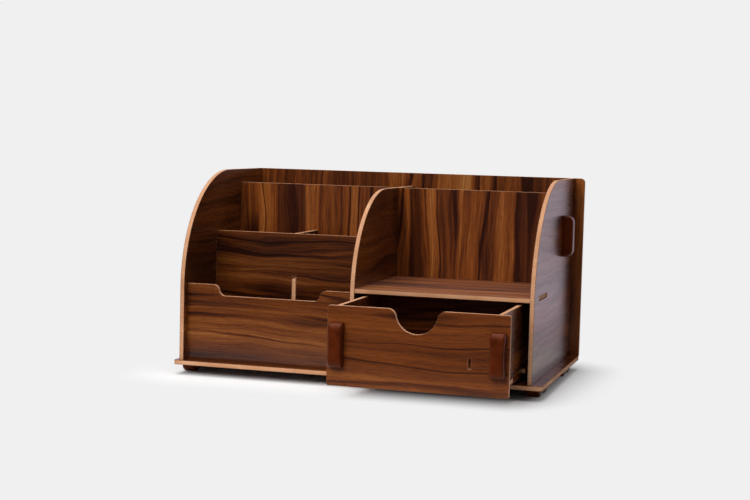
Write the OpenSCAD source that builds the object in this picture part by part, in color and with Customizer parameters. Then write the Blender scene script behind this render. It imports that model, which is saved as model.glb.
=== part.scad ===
// Knock-down desk organizer: thin laminated boards joined by tabs in slots,
// locked with small plastic clips, with one drawer that slides out at the front.
// Origin: centre of the floor outline with the drawer out as drawn. +X right, +Y back, +Z up.

/* [Overall] */
// Width of the base and the back panel
body_w = 344; // [290:1:420]
// Depth of the side panels, front edge to back panel
body_d = 192; // [172:1:236]
// Height of the side panels above the base
side_h = 174; // [160:1:214]
// Thickness of every board
board = 4; // [3:0.1:5]

/* [Outline] */
// Overhang of the base and the back panel past the left side panel
left_margin = 4.5; // [4.5:0.5:10]
// Overhang of the base and the back panel past the right side panel
right_margin = 9.5; // [4.5:0.5:12]
// Overhang of the base in front of the side panels
front_lip = 3.5; // [0:0.5:8]
// Radius of the sweep on the side panels
side_r = 106; // [70:1:130]
// Radius of the sweep on the centre partition
partition_r = 92.5; // [60:0.5:120]
// Corner radius of the back panel
back_r = 4; // [3:0.5:12]
// Corner radius of the base
base_r = 3.5; // [1:0.5:8]

/* [Compartments] */
// Drop of the partition and the rear divider below the side panels
rear_drop = 13; // [8:1:20]
// Clear depth of the tall slot at the back
rear_slot = 53; // [35:1:62]
// Clear depth of the two middle cells
middle_gap = 57; // [40:1:62]
// Height of the middle divider above the base
middle_h = 116; // [96:1:125]
// Height of the left front panel above the base
front_h = 70.5; // [58:0.5:80]
// Depth of the dip in the left front panel
dip_h = 10; // [5:0.5:20]
// Flat width of the dip in the left front panel
dip_w = 86; // [50:1:104]
// Set-back of the left front panel
front_setback = 8; // [6:0.5:14]
// Clear height under the shelf, the drawer bay
bay_h = 71; // [62:0.5:80]
// Shift of the centre partition to the right of the middle
partition_shift = 1; // [-6:0.5:6]

/* [Drawer] */
// Distance the drawer stands out at rest
drawer_out = 75; // [40:1:78]
// Gap between the drawer front and each side of its bay
drawer_side_gap = 0.75; // [0.4:0.05:1.5]
// Gap under the drawer
drawer_under_gap = 0.5; // [0.4:0.05:1]
// Gap over the drawer
drawer_top_gap = 2.5; // [1:0.1:5]
// Gap behind the rear clips when the drawer is shut
drawer_rear_gap = 1.5; // [0.5:0.1:4]
// Distance of the drawer sides from the ends of the front
drawer_inset = 7; // [5:0.5:9]
// Height of the drawer bottom above the lower edge of the front
drawer_floor = 7.5; // [5:0.5:12]
// Width of the finger notch
notch_w = 50; // [40:1:64]
// Depth of the finger notch
notch_h = 20.5; // [14:0.5:24]
// Corner radius of the drawer front and back
drawer_r = 1.5; // [0.5:0.1:2.5]

/* [Joints] */
// Length of the general tabs
tab_l = 28; // [20:1:30]
// Length of the tabs of the drawer shelf
shelf_tab_l = 38; // [24:1:40]
// Reach of a clipped tab past the board it crosses
tab_out = 6; // [4:0.5:7]
// Reach of the drawer bottom's tabs past the drawer sides
floor_tab_out = 3; // [0:0.5:4]
// Clearance of a tab in its slot, each side
fit = 0.15; // [0.1:0.05:0.3]

/* [Clips] */
// Length of a clip
clip_l = 38.5; // [35:0.5:42]
// Width of a clip
clip_w = 13; // [10:0.5:14]
// Distance a clip stands proud, and so the height of the feet
clip_d = 9.5; // [9:0.1:12]
// Corner radius of a clip, seen from its side
clip_r = 6.5; // [3:0.1:7]
// Height of the side clips above the base
side_clip_z = 121; // [96:1:130]
// Height of the back clips above the base
back_clip_z = 140; // [110:1:146]

/* [Hidden] */
$fn = 96;
deck = clip_d + board;
back_y = (body_d + drawer_out - board) / 2;
front_y = back_y - body_d;
side_x = (body_w - left_margin - right_margin) / 2;
back_x = (right_margin - left_margin) / 2;
inner_x = side_x - board;
top_z = deck + side_h;
partition_h = side_h - rear_drop;
wall_x = partition_shift - board / 2;
bay_x = wall_x + board;
rear_y = back_y - rear_slot - board;
middle_y = rear_y - middle_gap - board;
left_front_y = front_y + front_setback;
cross_x = (wall_x - inner_x) / 2 - board / 2;
foot_ys = [front_y + 35, back_y - 35];
low_tab_z = deck + 35;
cross_slot_z = deck + 76;
cross_tab_top = deck + 73;
cross_tab_l = 40;
shelf_z = deck + bay_h;
shelf_y = front_y + 0.5;
shelf_tab_y = front_y + 40;
shelf_rear_tab_x = (bay_x + inner_x) / 2;
back_tab_z = deck + 100;
floor_tab_x = body_w / 4;
dip_slope = 12;
arc_steps = 16;
drawer_x0 = bay_x + drawer_side_gap;
drawer_w = inner_x - bay_x - 2 * drawer_side_gap;
drawer_z0 = deck + drawer_under_gap;
drawer_h = bay_h - drawer_under_gap - drawer_top_gap;
drawer_y0 = front_y - drawer_out;
drawer_d = rear_y - front_y - clip_d - drawer_rear_gap;
drawer_clip_z = drawer_z0 + drawer_h / 2 + 1;
drawer_side_z0 = drawer_z0 + 4;
floor_z = drawer_z0 + drawer_floor;
floor_tab_l = 27;
floor_tab_ys = [drawer_y0 + board + 18, drawer_y0 + drawer_d - board - 18];
shelf_tab_recess = 1;
notch_shift = -1;
spare_slot_x = 123;
spare_slot_z = 26.5;
spare_slot_w = 3;
spare_slot_h = 9;
laminate = [0.46, 0.28, 0.17];
clip_brown = [0.42, 0.2, 0.12];

// ---- board helpers: flat outlines stood up in the model ----

// Outline in X and Z, made a board whose front face is at y
module board_xz(y) {
  translate([0, y + board, 0])
    rotate([90, 0, 0])
      linear_extrude(board)
        children();
}

// Outline in Y and Z, made a board whose left face is at x
module board_yz(x) {
  translate([x, 0, 0])
    rotate([90, 0, 90])
      linear_extrude(board)
        children();
}

// Rectangle from one corner to the opposite corner
module rect(x0, y0, x1, y1) {
  translate([x0, y0])
    square([x1 - x0, y1 - y0]);
}

// Slot for a tab that covers the rectangle, with the fit all round
module slot(x0, y0, x1, y1) {
  rect(x0 - fit, y0 - fit, x1 + fit, y1 + fit);
}

// Upright slot for a board edge, centred at height z
module up_slot(x0, z, l = tab_l) {
  slot(x0, z - l / 2, x0 + board, z + l / 2);
}

// Rectangle centred on the origin with round corners
module round_rect(w, h, r) {
  square([w - 2 * r, h], center = true);
  square([w, h - 2 * r], center = true);
  for (x = [-1, 1]) {
    for (y = [-1, 1]) {
      translate([x * (w / 2 - r), y * (h / 2 - r)])
        circle(r);
    }
  }
}

// Upright outline from the deck with its front top corner swept round
module swept(h, r) {
  difference() {
    rect(front_y, deck, back_y, deck + h);
    difference() {
      rect(front_y - 1, deck + h - r, front_y + r, deck + h + 1);
      translate([front_y + r, deck + h - r])
        circle(r);
    }
  }
}

// Points on an arc about c, from the first step wanted to the last
function arc(c, r, a0, a1, first) = [
  for (i = [first : arc_steps])
    let (a = a0 + (a1 - a0) * i / arc_steps)
    [c[0] + r * cos(a), c[1] + r * sin(a)]
];

// Dip cut down from z = 0, flat to each side of the middle, then rising over
// the slope in two arcs that meet smoothly: share sets the lower arc's part
module smooth_dip(flat, slope, depth, share) {
  reach = (slope * slope + depth * depth) / (2 * depth);
  low_r = reach * share;
  high_r = reach - low_r;
  lean = atan2(depth - reach, slope);
  right = concat(
    arc([flat, low_r - depth], low_r, -90, lean, flat > 0 ? 0 : 1),
    arc([flat + slope, -high_r], high_r, lean + 180, 90, 1),
    [[flat + slope, 1]]
  );
  last = len(right) - 1;
  left = [for (i = [0 : last]) [-right[last - i][0], right[last - i][1]]];
  bottom = flat > 0 ? [] : [[0, -depth]];
  polygon(concat(bottom, right, left));
}

// ---- fixed boards ----

module side_outline() {
  swept(side_h, side_r);
  for (y = foot_ys) {
    rect(y - tab_l / 2, deck - board - tab_out, y + tab_l / 2, deck + 1);
  }
  rect(back_y - 1, deck + back_clip_z - tab_l / 2,
       back_y + board + tab_out, deck + back_clip_z + tab_l / 2);
}

module right_side_panel() {
  color(laminate)
    board_yz(inner_x)
      difference() {
        side_outline();
        up_slot(rear_y, deck + side_clip_z);
        slot(shelf_tab_y - shelf_tab_l / 2, shelf_z,
             shelf_tab_y + shelf_tab_l / 2, shelf_z + board);
      }
}

module left_side_panel() {
  color(laminate)
    board_yz(-side_x)
      difference() {
        side_outline();
        up_slot(rear_y, deck + side_clip_z);
        up_slot(middle_y, low_tab_z);
        up_slot(left_front_y, low_tab_z);
      }
}

module centre_partition() {
  color(laminate)
    board_yz(wall_x)
      difference() {
        union() {
          swept(partition_h, partition_r);
          for (y = foot_ys) {
            rect(y - tab_l / 2, deck - board, y + tab_l / 2, deck + 1);
          }
          rect(back_y - 1, back_tab_z - tab_l / 2,
               back_y + board, back_tab_z + tab_l / 2);
        }
        slot(rear_y, deck + partition_h / 2, rear_y + board, top_z);
        up_slot(middle_y, low_tab_z);
        up_slot(left_front_y, low_tab_z);
        slot(shelf_tab_y - shelf_tab_l / 2, shelf_z,
             shelf_tab_y + shelf_tab_l / 2, shelf_z + board);
      }
}

module rear_divider() {
  color(laminate)
    board_xz(rear_y)
      difference() {
        union() {
          rect(-inner_x, deck, inner_x, deck + partition_h);
          rect(-side_x - tab_out, deck + side_clip_z - tab_l / 2,
               side_x + tab_out, deck + side_clip_z + tab_l / 2);
          for (x = [-floor_tab_x, floor_tab_x]) {
            rect(x - tab_l / 2, deck - board, x + tab_l / 2, deck + 1);
          }
        }
        slot(wall_x, deck - 1, wall_x + board, deck + partition_h / 2 - 2 * fit);
        up_slot(cross_x, cross_tab_top - cross_tab_l / 2, cross_tab_l);
        slot(shelf_rear_tab_x - tab_l / 2, shelf_z,
             shelf_rear_tab_x + tab_l / 2, shelf_z + board);
      }
}

module middle_divider() {
  color(laminate)
    board_xz(middle_y)
      difference() {
        union() {
          rect(-inner_x, deck, wall_x, deck + middle_h);
          rect(-side_x, low_tab_z - tab_l / 2,
               wall_x + board, low_tab_z + tab_l / 2);
        }
        slot(cross_x, cross_tab_top - cross_tab_l,
             cross_x + board, cross_slot_z - fit);
      }
}

module cross_partition() {
  color(laminate)
    board_yz(cross_x) {
      rect(middle_y + board, deck, rear_y, deck + middle_h);
      rect(middle_y, cross_tab_top - cross_tab_l,
           rear_y + board, cross_tab_top);
    }
}

module left_front_panel() {
  color(laminate)
    board_xz(left_front_y)
      difference() {
        union() {
          rect(-inner_x, deck, wall_x, deck + front_h);
          rect(-side_x, low_tab_z - tab_l / 2,
               wall_x + board, low_tab_z + tab_l / 2);
        }
        translate([(wall_x - inner_x) / 2, deck + front_h])
          smooth_dip(dip_w / 2, dip_slope, dip_h, 0.5);
      }
}

module drawer_shelf() {
  color(laminate)
    translate([0, 0, shelf_z])
      linear_extrude(board) {
        rect(bay_x, shelf_y, inner_x, rear_y);
        rect(wall_x, shelf_tab_y - shelf_tab_l / 2,
             side_x - shelf_tab_recess, shelf_tab_y + shelf_tab_l / 2);
        rect(shelf_rear_tab_x - tab_l / 2, rear_y - 1,
             shelf_rear_tab_x + tab_l / 2, rear_y + board);
      }
}

module base_panel() {
  color(laminate)
    translate([0, 0, clip_d])
      linear_extrude(board)
        difference() {
          translate([back_x, (front_y + back_y + board - front_lip) / 2])
            round_rect(body_w, body_d + board + front_lip, base_r);
          for (y = foot_ys) {
            slot(-side_x, y - tab_l / 2, -inner_x, y + tab_l / 2);
            slot(inner_x, y - tab_l / 2, side_x, y + tab_l / 2);
            slot(wall_x, y - tab_l / 2, wall_x + board, y + tab_l / 2);
          }
          for (x = [-floor_tab_x, floor_tab_x]) {
            slot(x - tab_l / 2, rear_y, x + tab_l / 2, rear_y + board);
          }
        }
}

module back_panel() {
  color(laminate)
    board_xz(back_y)
      difference() {
        union() {
          translate([back_x, deck + side_h / 2])
            round_rect(body_w, side_h, back_r);
          rect(back_x - body_w / 2, deck, back_x + body_w / 2, deck + back_r);
        }
        up_slot(-side_x, deck + back_clip_z);
        up_slot(inner_x, deck + back_clip_z);
        up_slot(wall_x, back_tab_z);
      }
}

// ---- clips ----

// Clip lying along X, standing up from z = 0, with a pocket for its tab
module clip() {
  waist = 90;
  edge = 2.4;
  difference() {
    intersection() {
      // seen from its long side: round outer corners
      rotate([90, 0, 0])
        linear_extrude(clip_w + 2, center = true)
          translate([0, (clip_d - clip_r) / 2])
            round_rect(clip_l, clip_d + clip_r, clip_r);
      // seen from outside: round corners and a slight waist
      linear_extrude(clip_d)
        difference() {
          round_rect(clip_l, clip_w, edge);
          for (s = [-1, 1]) {
            translate([0, s * (clip_w / 2 + waist - 0.55)])
              circle(waist, $fn = 240);
          }
        }
      // seen from its end: round outer edges
      rotate([90, 0, 90])
        linear_extrude(clip_l, center = true)
          translate([0, (clip_d - edge) / 2])
            round_rect(clip_w, clip_d + edge, edge);
    }
    translate([0, 0, (tab_out + fit) / 2 - 1])
      cube([tab_l + 2 * fit, board + 2 * fit, tab_out + fit + 2], center = true);
  }
}

// Foot clip lying along Y under the base, arched between its two pads
module foot(x, y) {
  arch = 40;
  color(clip_brown)
    translate([x, y, clip_d])
      rotate([180, 0, 90])
        difference() {
          clip();
          translate([0, 0, clip_d + arch - 1.2])
            rotate([90, 0, 0])
              cylinder(h = clip_w + 2, r = arch, center = true, $fn = 240);
        }
}

module front_left_foot() {
  foot(-side_x + board / 2, foot_ys[0]);
}

module front_right_foot() {
  foot(side_x - board / 2, foot_ys[0]);
}

module rear_left_foot() {
  foot(-side_x + board / 2, foot_ys[1]);
}

module rear_right_foot() {
  foot(side_x - board / 2, foot_ys[1]);
}

module right_side_clip() {
  color(clip_brown)
    translate([side_x, rear_y + board / 2, deck + side_clip_z])
      rotate([0, 90, 0])
        clip();
}

module left_side_clip() {
  mirror([1, 0, 0])
    right_side_clip();
}

// Upright clip on a face that looks back
module rear_facing_clip(x, y, z) {
  color(clip_brown)
    translate([x, y, z])
      rotate([-90, 90, 0])
        clip();
}

// Upright clip on a face that looks forward
module front_facing_clip(x, y, z) {
  color(clip_brown)
    translate([x, y, z])
      rotate([90, 90, 0])
        clip();
}

module left_back_clip() {
  rear_facing_clip(-side_x + board / 2, back_y + board, deck + back_clip_z);
}

module right_back_clip() {
  rear_facing_clip(side_x - board / 2, back_y + board, deck + back_clip_z);
}

// ---- drawer, drawn pulled out by drawer_out ----

// Outline of the drawer front and back
module drawer_end() {
  translate([drawer_x0 + drawer_w / 2, drawer_z0 + drawer_h / 2])
    round_rect(drawer_w, drawer_h, drawer_r);
}

// Slots for the tabs of the two drawer sides
module drawer_side_slots() {
  for (x = [drawer_x0 + drawer_inset,
            drawer_x0 + drawer_w - drawer_inset - board]) {
    up_slot(x, drawer_clip_z);
  }
}

module drawer_front() {
  color(laminate)
    board_xz(drawer_y0)
      difference() {
        drawer_end();
        drawer_side_slots();
        translate([drawer_x0 + drawer_w / 2 + notch_shift, drawer_z0 + drawer_h])
          smooth_dip(0, notch_w / 2, notch_h, 0.72);
        translate([drawer_x0 + spare_slot_x, drawer_z0 + spare_slot_z])
          square([spare_slot_w, spare_slot_h], center = true);
      }
}

module drawer_back() {
  color(laminate)
    board_xz(drawer_y0 + drawer_d - board)
      difference() {
        drawer_end();
        drawer_side_slots();
      }
}

// Drawer side with its left face at x
module drawer_side(x) {
  y0 = drawer_y0 + board;
  y1 = drawer_y0 + drawer_d - board;
  color(laminate)
    board_yz(x)
      difference() {
        union() {
          rect(y0, drawer_side_z0, y1, drawer_z0 + drawer_h);
          rect(y0 - board - tab_out, drawer_clip_z - tab_l / 2,
               y1 + board + tab_out, drawer_clip_z + tab_l / 2);
        }
        for (y = floor_tab_ys) {
          slot(y - floor_tab_l / 2, floor_z, y + floor_tab_l / 2, floor_z + board);
        }
      }
}

module drawer_left_side() {
  drawer_side(drawer_x0 + drawer_inset);
}

module drawer_right_side() {
  drawer_side(drawer_x0 + drawer_w - drawer_inset - board);
}

module drawer_bottom() {
  x0 = drawer_x0 + drawer_inset + board;
  x1 = drawer_x0 + drawer_w - drawer_inset - board;
  reach = board + floor_tab_out;
  color(laminate)
    translate([0, 0, floor_z])
      linear_extrude(board) {
        rect(x0, drawer_y0 + board, x1, drawer_y0 + drawer_d - board);
        for (y = floor_tab_ys) {
          rect(x0 - reach, y - floor_tab_l / 2, x1 + reach, y + floor_tab_l / 2);
        }
      }
}

module drawer_front_left_clip() {
  front_facing_clip(drawer_x0 + drawer_inset + board / 2, drawer_y0, drawer_clip_z);
}

module drawer_front_right_clip() {
  front_facing_clip(drawer_x0 + drawer_w - drawer_inset - board / 2,
                    drawer_y0, drawer_clip_z);
}

module drawer_rear_left_clip() {
  rear_facing_clip(drawer_x0 + drawer_inset + board / 2,
                   drawer_y0 + drawer_d, drawer_clip_z);
}

module drawer_rear_right_clip() {
  rear_facing_clip(drawer_x0 + drawer_w - drawer_inset - board / 2,
                   drawer_y0 + drawer_d, drawer_clip_z);
}

base_panel();
back_panel();
left_side_panel();
right_side_panel();
centre_partition();
rear_divider();
middle_divider();
cross_partition();
left_front_panel();
drawer_shelf();
front_left_foot();
front_right_foot();
rear_left_foot();
rear_right_foot();
left_side_clip();
right_side_clip();
left_back_clip();
right_back_clip();
drawer_front();
drawer_left_side();
drawer_right_side();
drawer_back();
drawer_bottom();
drawer_front_left_clip();
drawer_front_right_clip();
drawer_rear_left_clip();
drawer_rear_right_clip();
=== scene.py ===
"""Walnut-look desk organizer.

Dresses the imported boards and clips, and sets them in a plain studio.
"""

import logging
import math
from dataclasses import dataclass, field
from enum import Enum
from typing import ClassVar

import bmesh
import bpy
from mathutils import Matrix, Vector


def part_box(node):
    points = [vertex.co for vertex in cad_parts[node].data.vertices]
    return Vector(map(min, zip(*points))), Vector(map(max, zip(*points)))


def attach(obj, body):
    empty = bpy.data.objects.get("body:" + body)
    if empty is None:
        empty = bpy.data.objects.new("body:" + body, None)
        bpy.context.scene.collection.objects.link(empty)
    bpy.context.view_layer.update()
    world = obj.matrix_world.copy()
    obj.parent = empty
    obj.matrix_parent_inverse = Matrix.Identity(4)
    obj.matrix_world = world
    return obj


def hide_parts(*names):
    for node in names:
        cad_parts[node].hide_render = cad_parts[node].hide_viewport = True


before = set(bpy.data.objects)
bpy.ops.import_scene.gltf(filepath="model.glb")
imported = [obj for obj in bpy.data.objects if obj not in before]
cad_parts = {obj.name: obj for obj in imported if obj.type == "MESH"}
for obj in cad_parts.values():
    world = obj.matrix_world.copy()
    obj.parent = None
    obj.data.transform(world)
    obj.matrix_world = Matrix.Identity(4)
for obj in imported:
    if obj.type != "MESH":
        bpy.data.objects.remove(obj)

LOG = logging.getLogger("desk_organizer")
MM = 0.001
FOOT_ARCH_MM = 1.2


class Axis(Enum):
    """One of the three directions of the row frame."""

    X = 0
    Y = 1
    Z = 2


class Body(Enum):
    """The two rigid bodies of the organizer."""

    CASE = "case"
    DRAWER = "drawer"


class Slot(Enum):
    """The record's material slots."""

    LAMINATE = "walnut_laminate"
    PLASTIC = "brown_plastic"


def linear(hex_colour: str) -> tuple[float, float, float, float]:
    """Turns an sRGB hex colour into linear RGBA.

    Args:
        hex_colour: six hex digits after a hash sign.

    Returns:
        Linear red, green, blue and an alpha of one.
    """
    channels = []
    for i in (1, 3, 5):
        c = int(hex_colour[i : i + 2], 16) / 255
        channels.append(c / 12.92 if c <= 0.04045 else ((c + 0.055) / 1.055) ** 2.4)
    return (*channels, 1.0)


def add_node(
    tree: bpy.types.NodeTree,
    kind: str,
    values: dict | None = None,
    links: dict | None = None,
    **settings,
) -> bpy.types.Node:
    """Adds a node with its settings, input values and incoming links.

    Args:
        tree: the node tree that takes the node.
        kind: the node's type name.
        values: input name or number to the value set on that socket.
        links: input name or number to the socket that feeds it.
        **settings: attributes of the node itself.

    Returns:
        The new node.
    """
    node = tree.nodes.new(kind)
    for key, value in settings.items():
        setattr(node, key, value)
    for key, value in (values or {}).items():
        node.inputs[key].default_value = value
    for key, socket in (links or {}).items():
        tree.links.new(socket, node.inputs[key])
    return node


def set_ramp(node: bpy.types.Node, stops: list[tuple[float, str]]) -> None:
    """Gives a colour ramp its stops.

    Args:
        node: the colour ramp node.
        stops: place from 0 to 1 and hex colour, in rising order.
    """
    ramp = node.color_ramp
    while len(ramp.elements) < len(stops):
        ramp.elements.new(0.5)
    for element, (place, colour) in zip(ramp.elements, stops):
        element.position = place
        element.color = linear(colour)


def math_step(tree: bpy.types.NodeTree, operation: str, *terms) -> bpy.types.NodeSocket:
    """Adds a math step.

    Args:
        tree: the node tree.
        operation: the math node's operation.
        *terms: each a number or a socket.

    Returns:
        The result's socket.
    """
    values = {i: t for i, t in enumerate(terms) if isinstance(t, (int, float))}
    links = {i: t for i, t in enumerate(terms) if i not in values}
    node = add_node(tree, "ShaderNodeMath", values, links, operation=operation)
    return node.outputs[0]


def vector_step(
    tree: bpy.types.NodeTree, operation: str, fixed: dict, links: dict
) -> bpy.types.Node:
    """Adds a vector math step.

    Args:
        tree: the node tree.
        operation: the vector math node's operation.
        fixed: input number to a fixed vector.
        links: input number to the socket that feeds it.

    Returns:
        The node.
    """
    return add_node(tree, "ShaderNodeVectorMath", fixed, links, operation=operation)


def remap(
    tree: bpy.types.NodeTree,
    value: bpy.types.NodeSocket,
    source: tuple[float, float],
    target: tuple[float, float] = (0.0, 1.0),
    easing: str = "LINEAR",
) -> bpy.types.NodeSocket:
    """Carries one range over to another, held at both ends.

    Args:
        tree: the node tree.
        value: the socket to carry over.
        source: the range it comes in.
        target: the range it leaves in.
        easing: the node's interpolation type.

    Returns:
        The result's socket.
    """
    ranges = {
        "From Min": source[0],
        "From Max": source[1],
        "To Min": target[0],
        "To Max": target[1],
    }
    return add_node(
        tree, "ShaderNodeMapRange", ranges, {"Value": value}, interpolation_type=easing
    ).outputs[0]


@dataclass
class MaterialDraft:
    """A new node material, with its shader and its Object coordinates at hand."""

    name: str
    material: bpy.types.Material = field(init=False)
    tree: bpy.types.NodeTree = field(init=False)
    shader: bpy.types.Node = field(init=False)
    coord: bpy.types.NodeSocket = field(init=False)

    def __post_init__(self) -> None:
        """Makes the material."""
        self.material = bpy.data.materials.new(self.name)
        self.material.use_nodes = True
        self.tree = self.material.node_tree
        self.shader = self.tree.nodes["Principled BSDF"]
        self.coord = add_node(self.tree, "ShaderNodeTexCoord").outputs["Object"]

    def noise(self, size_mm: float, detail: float, rough: float = 0.5) -> bpy.types.NodeSocket:
        """Adds even noise.

        Args:
            size_mm: size of a feature.
            detail: number of octaves.
            rough: how strong the finer octaves are.

        Returns:
            The noise's value.
        """
        values = {"Scale": 1 / (size_mm * MM), "Detail": detail, "Roughness": rough}
        return add_node(
            self.tree, "ShaderNodeTexNoise", values, {"Vector": self.coord}
        ).outputs[0]

    def feed(self, name: str, socket: bpy.types.NodeSocket) -> None:
        """Links a socket to an input of the shader.

        Args:
            name: the shader's input.
            socket: what feeds it.
        """
        self.tree.links.new(socket, self.shader.inputs[name])

    def emboss(self, height: bpy.types.NodeSocket, strength: float, depth_mm: float) -> None:
        """Bumps the surface.

        Args:
            height: the relief, 0 to 1.
            strength: how much of it shows.
            depth_mm: its full depth.
        """
        values = {"Strength": strength, "Distance": depth_mm * MM}
        bump = add_node(self.tree, "ShaderNodeBump", values, {"Height": height})
        self.feed("Normal", bump.outputs[0])


@dataclass(frozen=True)
class Grain:
    """One layer of noise in the print, stretched along the grain; sizes in millimetres."""

    along: float
    across: float
    detail: float
    rough: float
    share: float = 0.0


SWAY = Grain(210, 60, 3, 0.55)
PATCHES = Grain(260, 24, 2, 0.5)
BANDS = Grain(480, 17, 3, 0.58, 0.8)
STREAKS = Grain(150, 4, 4, 0.65, 0.42)
FINE = Grain(45, 1, 2, 0.6, 0.34)
WIDE = Grain(800, 60, 1, 0.5, 0.34)
PORES = Grain(9, 0.5, 1, 0.5)


@dataclass(frozen=True)
class WalnutLaminate:
    """Paper laminate printed with walnut and pressed on fibreboard, satin, with open pores."""

    name: str
    along: Axis
    across: Axis
    seed: float
    print_and_light_tone: float = 1.0
    contrast: float = 1.0
    figure_mm: float = 34.0
    sway_mm: float = 26.0
    roughness: float = 0.24

    SEED_STEPS: ClassVar = (613, 271, 37)
    RING_COUNT: ClassVar = 6.0
    RING_LENGTH_MM: ClassVar = 620
    LINE_PLACE: ClassVar = 0.15
    LINE_WIDTH: ClassVar = 0.15
    LINE_DEPTHS: ClassVar = (-0.05, -0.36)
    RAMP_MIDDLE: ClassVar = 0.57
    RAMP: ClassVar = [
        (0.22, "#2a0f05"),
        (0.41, "#47200b"),
        (RAMP_MIDDLE, "#693411"),
        (0.72, "#864d21"),
        (0.9, "#a06b38"),
    ]

    def build(self) -> bpy.types.Material:
        """Builds the material.

        Returns:
            A node material whose grain runs along one axis of the row frame.
        """
        draft = MaterialDraft(self.name)
        tree = draft.tree
        mm = self._millimetres(draft)
        sway = self._noise(tree, mm, SWAY)
        swayed = vector_step(
            tree,
            "MULTIPLY_ADD",
            {1: (0, self.sway_mm, 0)},
            {0: sway.outputs["Color"], 2: mm},
        ).outputs[0]
        streaks = self._noise(tree, swayed, STREAKS).outputs[0]
        pores = self._noise(tree, mm, PORES).outputs[0]
        depth = self._ring_lines(tree, mm, swayed)
        for socket, grain in (
            (self._noise(tree, swayed, BANDS).outputs[0], BANDS),
            (streaks, STREAKS),
            (self._noise(tree, swayed, FINE).outputs[0], FINE),
            (self._noise(tree, swayed, WIDE).outputs[0], WIDE),
        ):
            depth = math_step(tree, "MULTIPLY_ADD", socket, grain.share, depth)
        # contrast scales the sum about 1, which falls on the ramp's middle
        lift = self.RAMP_MIDDLE - self.contrast
        depth = math_step(tree, "MULTIPLY_ADD", depth, self.contrast, lift)
        draft.feed("Base Color", self._printed(tree, depth, pores))
        limits = (self.roughness + 0.06, self.roughness - 0.04)
        draft.feed("Roughness", remap(tree, streaks, (0.3, 0.7), limits))
        draft.emboss(pores, strength=0.25, depth_mm=0.06)
        draft.shader.inputs["IOR"].default_value = 1.5
        return draft.material

    def _millimetres(self, draft: MaterialDraft) -> bpy.types.NodeSocket:
        """Lays the grain's direction along the first coordinate, one unit to a millimetre.

        Args:
            draft: the material that is being built.

        Returns:
            The coordinates, moved to this board's own part of the pattern.
        """
        tree = draft.tree
        parts = add_node(tree, "ShaderNodeSeparateXYZ", links={0: draft.coord}).outputs
        flat = add_node(
            tree,
            "ShaderNodeCombineXYZ",
            links={0: parts[self.along.value], 1: parts[self.across.value]},
        )
        values = {
            "Location": tuple(self.seed * step for step in self.SEED_STEPS),
            "Scale": (1 / MM,) * 3,
        }
        links = {"Vector": flat.outputs[0]}
        return add_node(tree, "ShaderNodeMapping", values, links).outputs[0]

    def _ring_lines(
        self,
        tree: bpy.types.NodeTree,
        mm: bpy.types.NodeSocket,
        swayed: bpy.types.NodeSocket,
    ) -> bpy.types.NodeSocket:
        """Counts a slow field off in growth rings, each with a soft dark line.

        Args:
            tree: the material's tree.
            mm: coordinates in millimetres.
            swayed: the same, swayed across the grain.

        Returns:
            How much the lines darken; some print strongly, others hardly.
        """
        field_grain = Grain(self.RING_LENGTH_MM, self.figure_mm, 1.2, 0.5)
        slow = self._noise(tree, swayed, field_grain).outputs[0]
        ring = math_step(
            tree, "FRACT", math_step(tree, "MULTIPLY", slow, self.RING_COUNT)
        )
        off_line = math_step(
            tree, "ABSOLUTE", math_step(tree, "SUBTRACT", ring, self.LINE_PLACE)
        )
        line = remap(tree, off_line, (0.0, self.LINE_WIDTH), (1.0, 0.0), "SMOOTHSTEP")
        patches = self._noise(tree, mm, PATCHES).outputs[0]
        strength = remap(tree, patches, (0.4, 0.6), self.LINE_DEPTHS)
        return math_step(tree, "MULTIPLY", line, strength)

    def _printed(
        self,
        tree: bpy.types.NodeTree,
        depth: bpy.types.NodeSocket,
        pores: bpy.types.NodeSocket,
    ) -> bpy.types.NodeSocket:
        """Colours the print: the ramp, the board's tone, which paints light and shade as well
        as print tone, then darker pores.

        Args:
            tree: the material's tree.
            depth: place on the ramp.
            pores: noise whose low parts are pores.

        Returns:
            The colour.
        """
        ramp = add_node(tree, "ShaderNodeValToRGB", links={0: depth})
        set_ramp(ramp, self.RAMP)
        # the tone brightens or darkens the whole board to how lit it looks: painted light and
        # shade mixed with the print's own tone
        toned = add_node(
            tree,
            "ShaderNodeMix",
            {"Factor": 1.0, 7: (self.print_and_light_tone, self.print_and_light_tone, self.print_and_light_tone, 1)},
            {6: ramp.outputs[0]},
            data_type="RGBA",
            blend_type="MULTIPLY",
        )
        pore = remap(tree, pores, (0.3, 0.45), (0.6, 1.0))
        coloured = add_node(
            tree,
            "ShaderNodeMix",
            {"Factor": 1.0},
            {6: toned.outputs[2], 7: pore},
            data_type="RGBA",
            blend_type="MULTIPLY",
        )
        return coloured.outputs[2]

    @staticmethod
    def _noise(
        tree: bpy.types.NodeTree, vector: bpy.types.NodeSocket, grain: Grain
    ) -> bpy.types.Node:
        """Adds noise stretched along the grain.

        Args:
            tree: the material's tree.
            vector: coordinates in millimetres, grain along the first.
            grain: the layer's sizes and detail.

        Returns:
            The noise node.
        """
        scale = {1: (1 / grain.along, 1 / grain.across, 1)}
        stretched = vector_step(tree, "MULTIPLY", scale, {0: vector})
        return add_node(
            tree,
            "ShaderNodeTexNoise",
            {"Scale": 1.0, "Detail": grain.detail, "Roughness": grain.rough},
            {"Vector": stretched.outputs[0]},
        )


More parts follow.
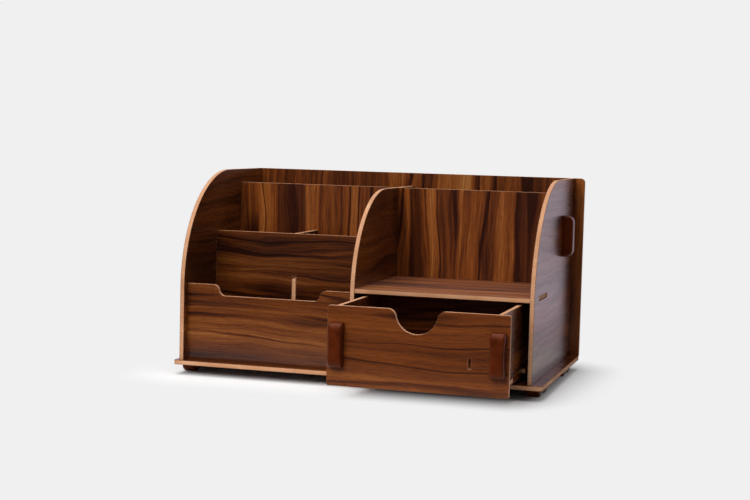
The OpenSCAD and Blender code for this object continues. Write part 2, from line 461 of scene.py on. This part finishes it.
@dataclass(frozen=True)
class FibreboardEdge:
    """Sawn edge of medium-density fibreboard: matt tan felt between two dark laminate films."""

    name: str
    normal: Axis
    middle: float
    half: float

    CLUMP_MM: ClassVar = 0.8
    STAIN_MM: ClassVar = 25
    FILM_MM: ClassVar = (0.42, 0.22)

    def build(self) -> bpy.types.Material:
        """Builds the material.

        Returns:
            A node material with a dark line at both faces of the board.
        """
        draft = MaterialDraft(self.name)
        tree = draft.tree
        fine = draft.noise(self.CLUMP_MM, 3.0, 0.6)
        slow = draft.noise(self.STAIN_MM, 2.0)
        mixed = math_step(tree, "MULTIPLY_ADD", slow, 0.6, fine)
        ramp = add_node(tree, "ShaderNodeValToRGB", links={0: mixed})
        set_ramp(ramp, [(0.5, "#a06c4b"), (0.8, "#be8a64"), (1.0, "#d0a07c")])
        parts = add_node(tree, "ShaderNodeSeparateXYZ", links={0: draft.coord}).outputs
        off = math_step(tree, "SUBTRACT", parts[self.normal.value], self.middle)
        limits = tuple(self.half - film * MM for film in self.FILM_MM)
        film = remap(tree, math_step(tree, "ABSOLUTE", off), limits, (0.0, 0.75))
        edged = add_node(
            tree,
            "ShaderNodeMix",
            {7: linear("#5a3219")},
            {"Factor": film, 6: ramp.outputs[0]},
            data_type="RGBA",
        )
        draft.feed("Base Color", edged.outputs[2])
        draft.shader.inputs["Roughness"].default_value = 0.78
        draft.emboss(fine, strength=0.4, depth_mm=0.08)
        return draft.material


@dataclass(frozen=True)
class MouldedPlastic:
    """Injection-moulded ABS in reddish brown, semi-gloss with a faint spark-eroded grain."""

    name: str = "moulded_abs_brown"
    deep: str = "#421706"
    light: str = "#572108"
    sheen: str = "#ffc2a4"

    def build(self) -> bpy.types.Material:
        """Builds the material.

        Returns:
            A node material for the clips.
        """
        draft = MaterialDraft(self.name)
        flow = draft.noise(9, 3.0)
        ramp = add_node(draft.tree, "ShaderNodeValToRGB", links={0: flow})
        set_ramp(ramp, [(0.3, self.deep), (0.7, self.light)])
        draft.feed("Base Color", ramp.outputs[0])
        draft.feed("Roughness", remap(draft.tree, flow, (0.3, 0.7), (0.3, 0.38)))
        draft.emboss(draft.noise(0.6, 2.0), strength=0.3, depth_mm=0.03)
        for name, value in (
            ("IOR", 1.53),
            ("Specular IOR Level", 0.24),
            ("Specular Tint", linear(self.sheen)),
        ):
            draft.shader.inputs[name].default_value = value
        return draft.material


@dataclass(frozen=True)
class Board:
    """One laminated board: its node, the way it faces and the way its grain runs."""

    node: str
    normal: Axis
    along: Axis
    seed: float
    print_and_light_tone: float = 1.0
    contrast: float = 1.0
    figure_mm: float = 34.0
    sway_mm: float = 26.0
    roughness: float = 0.24

    ARRIS_MM: ClassVar = 0.2
    MERGE_MM: ClassVar = 0.002
    LAMINATE: ClassVar = 0
    EDGE: ClassVar = 1

    def build(self, body: Body) -> bpy.types.Object:
        """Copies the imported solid, softens its arrises and dresses faces and edges.

        Args:
            body: the body that the board rides on.

        Returns:
            The finished board.
        """
        mesh = self._cleaned()
        piece = bpy.data.objects.new(f"{self.node}_board", mesh)
        bpy.context.scene.collection.objects.link(piece)
        low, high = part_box(self.node)
        n = self.normal.value
        across = next(a for a in Axis if a not in (self.normal, self.along))
        laminate = WalnutLaminate(
            f"walnut_print_{self.node}",
            self.along,
            across,
            self.seed,
            self.print_and_light_tone,
            self.contrast,
            self.figure_mm,
            self.sway_mm,
            self.roughness,
        )
        edge = FibreboardEdge(
            f"fibreboard_edge_{self.node}",
            self.normal,
            (low[n] + high[n]) / 2,
            (high[n] - low[n]) / 2,
        )
        mesh.materials.append(laminate.build())
        mesh.materials.append(edge.build())
        for face in mesh.polygons:
            faced = abs(face.normal[n]) > 0.99
            face.material_index = self.LAMINATE if faced else self.EDGE
            face.use_smooth = True
        piece = self._softened(piece)
        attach(piece, body.value)
        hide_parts(self.node)
        LOG.info("board %s: %d faces", piece.name, len(piece.data.polygons))
        return piece

    def _cleaned(self) -> bpy.types.Mesh:
        """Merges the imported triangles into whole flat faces.

        Returns:
            A new mesh.
        """
        mesh = bpy.data.meshes.new(f"{self.node}_board")
        bm = bmesh.new()
        bm.from_mesh(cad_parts[self.node].data)
        bmesh.ops.remove_doubles(bm, verts=bm.verts, dist=self.MERGE_MM * MM)
        bmesh.ops.dissolve_limit(
            bm,
            angle_limit=math.radians(0.5),
            use_dissolve_boundaries=False,
            verts=bm.verts,
            edges=bm.edges,
        )
        bm.normal_update()
        bm.to_mesh(mesh)
        bm.free()
        return mesh

    def _softened(self, piece: bpy.types.Object) -> bpy.types.Object:
        """Rounds every arris lightly and bakes the result.

        Args:
            piece: the sharp board.

        Returns:
            The same object with its final mesh.
        """
        soft = piece.modifiers.new("arris", "BEVEL")
        soft.width = self.ARRIS_MM * MM
        soft.segments = 2
        soft.limit_method = "ANGLE"
        soft.angle_limit = math.radians(40)
        soft.material = self.EDGE
        soft.harden_normals = True
        baked(piece)
        self._flatten_faces(piece.data)
        return piece

    def _flatten_faces(self, mesh: bpy.types.Mesh) -> None:
        """Gives every corner of the two laminate faces the exact board normal.

        Args:
            mesh: the softened board.
        """
        normals = [Vector(corner.vector) for corner in mesh.corner_normals]
        n = self.normal.value
        for face in mesh.polygons:
            if abs(face.normal[n]) > 0.999:
                straight = Vector((0, 0, 0))
                straight[n] = math.copysign(1.0, face.normal[n])
                for corner in face.loop_indices:
                    normals[corner] = straight
        mesh.normals_split_custom_set(normals)


def baked(piece: bpy.types.Object) -> bpy.types.Object:
    """Turns a piece's evaluated result into its plain mesh and drops its modifiers.

    Args:
        piece: an object with live modifiers.

    Returns:
        The same object.
    """
    graph = bpy.context.evaluated_depsgraph_get()
    mesh = bpy.data.meshes.new_from_object(
        piece.evaluated_get(graph), preserve_all_data_layers=True, depsgraph=graph
    )
    piece.modifiers.clear()
    piece.data = mesh
    return piece


class Facing(Enum):
    """The way a clip stands out from its board: the turn that carries its +Z there."""

    RIGHT = Matrix(((0, 0, 1), (0, 1, 0), (-1, 0, 0)))
    LEFT = Matrix(((0, 0, -1), (0, 1, 0), (1, 0, 0)))
    FRONT = Matrix(((0, 1, 0), (0, 0, -1), (-1, 0, 0)))
    BACK = Matrix(((0, -1, 0), (0, 0, 1), (-1, 0, 0)))
    DOWN = Matrix(((0, 1, 0), (1, 0, 0), (0, 0, -1)))


@dataclass
class ClipTree:
    """Geometry nodes that mould a clip: a gridded block whose corners are rolled round."""

    name: str = "moulded_clip"
    tree: bpy.types.NodeTree = field(init=False)

    INPUTS: ClassVar = (
        ("Length", 0.0385),
        ("Width", 0.0115),
        ("Depth", 0.0095),
        ("Nose radius", 0.0065),
        ("Edge radius", 0.0024),
        ("Waist", 0.12),
        ("Arch", 0.0),
    )
    GRID: ClassVar = {"Vertices X": 56, "Vertices Y": 20, "Vertices Z": 16}
    ARCH_SPAN: ClassVar = 0.26
    TINY: ClassVar = 1e-9

    def __post_init__(self) -> None:
        """Builds the tree once, for every clip to share."""
        self.tree = bpy.data.node_groups.new(self.name, "GeometryNodeTree")
        face = self.tree.interface
        for name, value in self.INPUTS:
            socket = face.new_socket(name, in_out="INPUT", socket_type="NodeSocketFloat")
            socket.default_value = value
        face.new_socket("Material", in_out="INPUT", socket_type="NodeSocketMaterial")
        face.new_socket("Mesh", in_out="OUTPUT", socket_type="NodeSocketGeometry")
        self._wire()

    def _math(self, operation: str, *terms) -> bpy.types.NodeSocket:
        """Adds a math step to the clip's tree.

        Args:
            operation: the math node's operation.
            *terms: each a number or a socket.

        Returns:
            The result's socket.
        """
        return math_step(self.tree, operation, *terms)

    def _rolled(
        self, a: bpy.types.NodeSocket, b: bpy.types.NodeSocket
    ) -> bpy.types.NodeSocket:
        """Share that turns a square corner patch into a round one.

        Args:
            a: distance past the corner's core along one direction.
            b: the same along the other.

        Returns:
            The larger of the two over their length, 1 where both are nil.
        """
        m = self._math
        longest = m("MAXIMUM", m("ABSOLUTE", a), m("ABSOLUTE", b))
        squares = m("MULTIPLY_ADD", a, a, m("MULTIPLY", b, b))
        length = m("MAXIMUM", m("SQRT", squares), self.TINY)
        return m("DIVIDE", m("MAXIMUM", longest, self.TINY), length)

    def _wire(self) -> None:
        """Links block, nose roll, edge roll, waist, arch and material."""
        tree = self.tree
        m = self._math
        given = add_node(tree, "NodeGroupInput").outputs
        length, width, depth = given["Length"], given["Width"], given["Depth"]
        nose, edge = given["Nose radius"], given["Edge radius"]
        size = add_node(
            tree, "ShaderNodeCombineXYZ", links={0: length, 1: width, 2: depth}
        )
        block = add_node(
            tree,
            "GeometryNodeMeshCube",
            self.GRID,
            {"Size": size.outputs[0]},
        )
        place = add_node(tree, "GeometryNodeInputPosition")
        axes = add_node(
            tree, "ShaderNodeSeparateXYZ", links={0: place.outputs[0]}
        ).outputs
        x, y = axes[0], axes[1]
        z = m("ADD", axes[2], m("DIVIDE", depth, 2.0))
        # nose: the outer corners, seen from the long side
        core_x = m("SUBTRACT", m("DIVIDE", length, 2.0), nose)
        core_z = m("SUBTRACT", depth, nose)
        past_x = m("MAXIMUM", m("SUBTRACT", m("ABSOLUTE", x), core_x), 0.0)
        past_z = m("MAXIMUM", m("SUBTRACT", z, core_z), 0.0)
        roll = self._rolled(past_x, past_z)
        off_x = m("MULTIPLY", past_x, roll)
        off_z = m("MULTIPLY", past_z, roll)
        # edge: where the long sides meet the rounded back
        reach = m(
            "SQRT", m("MULTIPLY_ADD", off_x, off_x, m("MULTIPLY", off_z, off_z))
        )
        rim = m("MAXIMUM", m("ADD", m("SUBTRACT", reach, nose), edge), 0.0)
        core_y = m("SUBTRACT", m("DIVIDE", width, 2.0), edge)
        side = m(
            "MAXIMUM",
            m("SUBTRACT", m("ABSOLUTE", y), core_y),
            0.0,
        )
        turn = self._rolled(rim, side)
        pull = m(
            "DIVIDE",
            m("SUBTRACT", reach, m("MULTIPLY", rim, m("SUBTRACT", 1.0, turn))),
            m("MAXIMUM", reach, self.TINY),
        )
        final_x = m(
            "MULTIPLY",
            m("SIGN", x),
            m(
                "ADD",
                m("MINIMUM", m("ABSOLUTE", x), core_x),
                m("MULTIPLY", off_x, pull),
            ),
        )
        final_z = m("ADD", m("MINIMUM", z, core_z), m("MULTIPLY", off_z, pull))
        drawn_in = m("MULTIPLY", side, m("SUBTRACT", 1.0, turn))
        along = m("DIVIDE", m("MULTIPLY", x, 2.0), length)
        hollow = m("MAXIMUM", m("SUBTRACT", 1.0, m("MULTIPLY", along, along)), 0.0)
        slim = m("SUBTRACT", 1.0, m("MULTIPLY", given["Waist"], hollow))
        final_y = m(
            "MULTIPLY",
            m("MULTIPLY", m("SIGN", y), m("SUBTRACT", m("ABSOLUTE", y), drawn_in)),
            slim,
        )
        wide = m("DIVIDE", x, m("MULTIPLY", length, self.ARCH_SPAN))
        arch = m("MAXIMUM", m("SUBTRACT", 1.0, m("MULTIPLY", wide, wide)), 0.0)
        lifted = m(
            "MULTIPLY", m("MULTIPLY", given["Arch"], arch), m("DIVIDE", z, depth)
        )
        moved = add_node(
            tree,
            "ShaderNodeCombineXYZ",
            links={0: final_x, 1: final_y, 2: m("SUBTRACT", final_z, lifted)},
        )
        shaped = add_node(
            tree,
            "GeometryNodeSetPosition",
            links={"Geometry": block.outputs["Mesh"], "Position": moved.outputs[0]},
        )
        smooth = add_node(
            tree, "GeometryNodeSetShadeSmooth", links={0: shaped.outputs[0]}
        )
        real = add_node(
            tree, "GeometryNodeRealizeInstances", links={0: smooth.outputs[0]}
        )
        dressed = add_node(
            tree,
            "GeometryNodeSetMaterial",
            links={"Geometry": real.outputs[0], "Material": given["Material"]},
        )
        add_node(tree, "NodeGroupOutput", links={0: dressed.outputs[0]})

    def identifier(self, name: str) -> str:
        """Finds the identifier of a named input.

        Args:
            name: the input's name.

        Returns:
            Its key on a modifier.
        """
        return next(
            s.identifier
            for s in self.tree.interface.items_tree
            if s.name == name and s.in_out == "INPUT"
        )


@dataclass(frozen=True)
class Clip:
    """One moulded clip: the node it stands for and the way it faces."""

    node: str
    facing: Facing
    arch_mm: float = 0.0

    def build(
        self, body: Body, tree: ClipTree, plastic: bpy.types.Material
    ) -> bpy.types.Object:
        """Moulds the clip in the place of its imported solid.

        Args:
            body: the body that the clip rides on.
            tree: the shared geometry nodes.
            plastic: the clips' material.

        Returns:
            The finished clip.
        """
        low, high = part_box(self.node)
        middle = (low + high) / 2
        turn = self.facing.value
        extent = turn.transposed() @ (high - low)
        length, width, depth = (abs(c) for c in extent)
        mesh = bpy.data.meshes.new(self.node)
        holder = bpy.data.objects.new(f"{self.node}_moulding", mesh)
        bpy.context.scene.collection.objects.link(holder)
        grow = holder.modifiers.new("mould", "NODES")
        grow.node_group = tree.tree
        for name, value in (
            ("Length", length),
            ("Width", width),
            ("Depth", depth),
            ("Arch", self.arch_mm * MM),
            ("Material", plastic),
        ):
            grow[tree.identifier(name)] = value
        piece = baked(holder)
        root = middle - turn @ Vector((0, 0, depth / 2))
        piece.data.transform(Matrix.Translation(root) @ turn.to_4x4())
        piece.data.update()
        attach(piece, body.value)
        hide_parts(self.node)
        LOG.info("clip %s: %d faces", piece.name, len(piece.data.polygons))
        return piece


@dataclass
class Assembly:
    """Boards and clips that move as one body."""

    body: Body
    boards: list[Board]
    clips: list[Clip]

    def build(self, tree: ClipTree, plastic: bpy.types.Material) -> None:
        """Builds every piece of the body.

        Args:
            tree: the shared geometry nodes of the clips.
            plastic: the clips' material.
        """
        for board in self.boards:
            board.build(self.body)
        for clip in self.clips:
            clip.build(self.body, tree, plastic)


def organizer_case() -> Assembly:
    """Lists the fixed boards and clips.

    Returns:
        The case.
    """
    return Assembly(
        Body.CASE,
        [
            # tones other than 1 make a board as bright as it looks where it stands: painted
            # light and shade as well as print tone
            Board("base_panel", Axis.Z, Axis.X, 1.3),
            Board("back_panel", Axis.Y, Axis.Z, 2.1, print_and_light_tone=1.08, contrast=1.15),
            Board("left_side_panel", Axis.X, Axis.Y, 3.7, print_and_light_tone=1.1),
            Board("right_side_panel", Axis.X, Axis.Y, 4.9),
            Board("centre_partition", Axis.X, Axis.Y, 5.3, print_and_light_tone=0.85),
            Board("rear_divider", Axis.Y, Axis.Z, 6.4, print_and_light_tone=1.2, contrast=1.25),
            Board(
                "middle_divider",
                Axis.Y,
                Axis.X,
                7.2,
                print_and_light_tone=0.7,
                contrast=1.35,
                figure_mm=22,
                sway_mm=34,
            ),
            Board("cross_partition", Axis.X, Axis.Y, 8.8),
            Board(
                "left_front_panel", Axis.Y, Axis.X, 9.7, print_and_light_tone=0.9, contrast=1.1, figure_mm=24
            ),
            Board(
                "drawer_shelf", Axis.Z, Axis.X, 10.6, print_and_light_tone=1.15, contrast=1.1, roughness=0.66
            ),
        ],
        [
            Clip("front_left_foot", Facing.DOWN, FOOT_ARCH_MM),
            Clip("front_right_foot", Facing.DOWN, FOOT_ARCH_MM),
            Clip("rear_left_foot", Facing.DOWN, FOOT_ARCH_MM),
            Clip("rear_right_foot", Facing.DOWN, FOOT_ARCH_MM),
            Clip("left_side_clip", Facing.LEFT),
            Clip("right_side_clip", Facing.RIGHT),
            Clip("left_back_clip", Facing.BACK),
            Clip("right_back_clip", Facing.BACK),
        ],
    )


def pull_out_drawer() -> Assembly:
    """Lists the drawer's boards and clips.

    Returns:
        The drawer.
    """
    return Assembly(
        Body.DRAWER,
        [
            # tones other than 1 make a board as bright as it looks where it stands: painted
            # light and shade as well as print tone
            Board("drawer_front", Axis.Y, Axis.X, 11.9, print_and_light_tone=1.14, contrast=0.6),
            Board("drawer_left_side", Axis.X, Axis.Y, 12.4),
            Board("drawer_right_side", Axis.X, Axis.Y, 13.1),
            Board("drawer_back", Axis.Y, Axis.X, 14.2),
            Board("drawer_bottom", Axis.Z, Axis.X, 15.8),
        ],
        [
            Clip("drawer_front_left_clip", Facing.FRONT),
            Clip("drawer_front_right_clip", Facing.FRONT),
            Clip("drawer_rear_left_clip", Facing.BACK),
            Clip("drawer_rear_right_clip", Facing.BACK),
        ],
    )


@dataclass
class Studio:
    """Pale floor, soft lights and the camera; lengths in metres, angles in degrees."""

    surround: str = "#f0f0f0"
    mirrored: str = "#fbe8f6"
    ambient: float = 0.24
    mirrored_levels: tuple[float, float] = (0.06, 0.8)
    floor_radius: float = 30.0
    footprint_centre: tuple[float, float, float] = (0.0, 0.035, 0.0)
    footprint_half: tuple[float, float, float] = (0.155, 0.09, 0.0)
    fade_lit: tuple[float, float] = (0.0, 0.25)
    fade_seen: tuple[float, float] = (0.0, 0.075)
    camera_place: tuple[float, float, float] = (0.39834, -1.308621, 0.2274)
    camera_angles: tuple[float, float, float] = (16.812, -4.539, 1.446)
    camera_lens_mm: float = 71.187

    def build(self) -> None:
        """Sets up the whole studio."""
        bpy.context.scene.view_settings.view_transform = "Standard"
        self._world()
        self._floor()
        self._softbox("top_softbox", (-0.15, -0.25, 1.45), (0, 0, 0.1), size=1.5, watts=17.0)
        front = self._softbox(
            "front_softbox", (-0.4, -2.0, 1.4), (0, 0, 0.09), size=1.2, watts=41.0
        )
        front.visible_glossy = False
        self._camera()

    def _emitters(
        self, tree: bpy.types.NodeTree, kind: str, backness: bpy.types.NodeSocket
    ) -> bpy.types.Node:
        """Mixes the surround seen, the surround mirrored in the object and the fill light.

        Args:
            tree: the tree of the world or the floor.
            kind: the emitting node's type name.
            backness: 0 in front of the object, 1 behind it.

        Returns:
            The mixed shader node.
        """
        seen = add_node(tree, kind, {"Color": linear(self.surround), "Strength": 1.0})
        fill = add_node(
            tree, kind, {"Color": (1, 1, 1, 1), "Strength": self.ambient}
        )
        level = remap(tree, backness, (0.0, 1.0), self.mirrored_levels)
        mirrored = add_node(
            tree, kind, {"Color": linear(self.mirrored)}, {"Strength": level}
        )
        path = add_node(tree, "ShaderNodeLightPath").outputs
        cast = add_node(
            tree,
            "ShaderNodeMixShader",
            links={
                0: path["Is Glossy Ray"],
                1: fill.outputs[0],
                2: mirrored.outputs[0],
            },
        )
        return add_node(
            tree,
            "ShaderNodeMixShader",
            links={0: path["Is Camera Ray"], 1: cast.outputs[0], 2: seen.outputs[0]},
        )

    @staticmethod
    def _backness(
        tree: bpy.types.NodeTree, vector: bpy.types.NodeSocket
    ) -> bpy.types.NodeSocket:
        """Measures how far a direction or a place lies to the back.

        Args:
            tree: the tree of the world or the floor.
            vector: the direction or the place.

        Returns:
            0 in front of the object, 1 behind it.
        """
        parts = add_node(tree, "ShaderNodeSeparateXYZ", links={0: vector}).outputs
        return remap(tree, parts[Axis.Y.value], (-0.1, 0.6))

    def _world(self) -> None:
        """Fills the surround with an even pale tone that mirrors brighter from behind."""
        world = bpy.data.worlds.new("surround")
        bpy.context.scene.world = world
        world.use_nodes = True
        tree = world.node_tree
        tree.nodes.clear()
        direction = add_node(tree, "ShaderNodeTexCoord").outputs["Generated"]
        backness = self._backness(tree, direction)
        mixed = self._emitters(tree, "ShaderNodeBackground", backness)
        add_node(tree, "ShaderNodeOutputWorld", links={0: mixed.outputs[0]})

    def _floor(self) -> None:
        """Lays a round pale floor that melts into the surround away from the object."""
        mesh = bpy.data.meshes.new("floor")
        bm = bmesh.new()
        bmesh.ops.create_circle(bm, cap_ends=True, segments=96, radius=self.floor_radius)
        bm.to_mesh(mesh)
        bm.free()
        floor = bpy.data.objects.new("floor", mesh)
        bpy.context.scene.collection.objects.link(floor)
        mat = bpy.data.materials.new("matt_pale_board")
        mat.use_nodes = True
        tree = mat.node_tree
        tree.nodes.clear()
        coord = add_node(tree, "ShaderNodeTexCoord").outputs["Object"]
        # distance outside the rectangle that the case stands over
        off = vector_step(tree, "SUBTRACT", {1: self.footprint_centre}, {0: coord})
        size = vector_step(tree, "ABSOLUTE", {}, {0: off.outputs[0]})
        past = vector_step(
            tree, "SUBTRACT", {1: self.footprint_half}, {0: size.outputs[0]}
        )
        outside = vector_step(tree, "MAXIMUM", {1: (0, 0, 0)}, {0: past.outputs[0]})
        away = vector_step(tree, "LENGTH", {}, {0: outside.outputs[0]}).outputs["Value"]
        lit, seen = (
            remap(tree, away, limits, easing="SMOOTHSTEP")
            for limits in (self.fade_lit, self.fade_seen)
        )
        camera_ray = add_node(tree, "ShaderNodeLightPath").outputs["Is Camera Ray"]
        fade = add_node(tree, "ShaderNodeMix", links={0: camera_ray, 2: lit, 3: seen})
        matt = add_node(
            tree, "ShaderNodeBsdfDiffuse", {"Color": linear(self.surround)}
        )
        shine = self._emitters(
            tree, "ShaderNodeEmission", self._backness(tree, coord)
        )
        mixed = add_node(
            tree,
            "ShaderNodeMixShader",
            links={0: fade.outputs[0], 1: matt.outputs[0], 2: shine.outputs[0]},
        )
        add_node(tree, "ShaderNodeOutputMaterial", links={0: mixed.outputs[0]})
        mesh.materials.append(mat)

    def _softbox(
        self,
        name: str,
        place: tuple[float, float, float],
        target: tuple[float, float, float],
        size: float,
        watts: float,
    ) -> bpy.types.Object:
        """Hangs a square softbox that looks at a point.

        Args:
            name: the light's name.
            place: its centre, in metres.
            target: the point it faces.
            size: its side, in metres.
            watts: its power.

        Returns:
            The lamp's object.
        """
        lamp = bpy.data.lights.new(name, "AREA")
        lamp.size = size
        lamp.energy = watts
        holder = bpy.data.objects.new(name, lamp)
        holder.location = place
        aim = Vector(target) - Vector(place)
        holder.rotation_euler = aim.to_track_quat("-Z", "Y").to_euler()
        bpy.context.scene.collection.objects.link(holder)
        return holder

    def _camera(self) -> None:
        """Stands the camera at the front right, a little above the organizer."""
        yaw, pitch, roll = (math.radians(angle) for angle in self.camera_angles)
        ahead = Vector(
            (
                -math.sin(yaw) * math.cos(pitch),
                math.cos(yaw) * math.cos(pitch),
                math.sin(pitch),
            )
        )
        right = Vector((math.cos(yaw), math.sin(yaw), 0))
        up = right.cross(ahead)
        tilted_right = math.cos(roll) * right + math.sin(roll) * up
        tilted_up = -math.sin(roll) * right + math.cos(roll) * up
        lens = bpy.data.cameras.new("camera")
        lens.lens = self.camera_lens_mm
        lens.sensor_width = 36.0
        lens.clip_end = 100.0
        camera = bpy.data.objects.new("camera", lens)
        turn = Matrix((tilted_right, tilted_up, -ahead)).transposed()
        place = Matrix.Translation(self.camera_place)
        camera.matrix_world = place @ turn.to_4x4()
        bpy.context.scene.collection.objects.link(camera)
        bpy.context.scene.camera = camera


def main() -> None:
    """Builds the organizer and the studio."""
    logging.basicConfig(level=logging.INFO)
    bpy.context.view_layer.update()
    tree = ClipTree()
    plastic = MouldedPlastic().build()
    for assembly in (organizer_case(), pull_out_drawer()):
        assembly.build(tree, plastic)
    Studio().build()


if __name__ == "__main__":
    main()
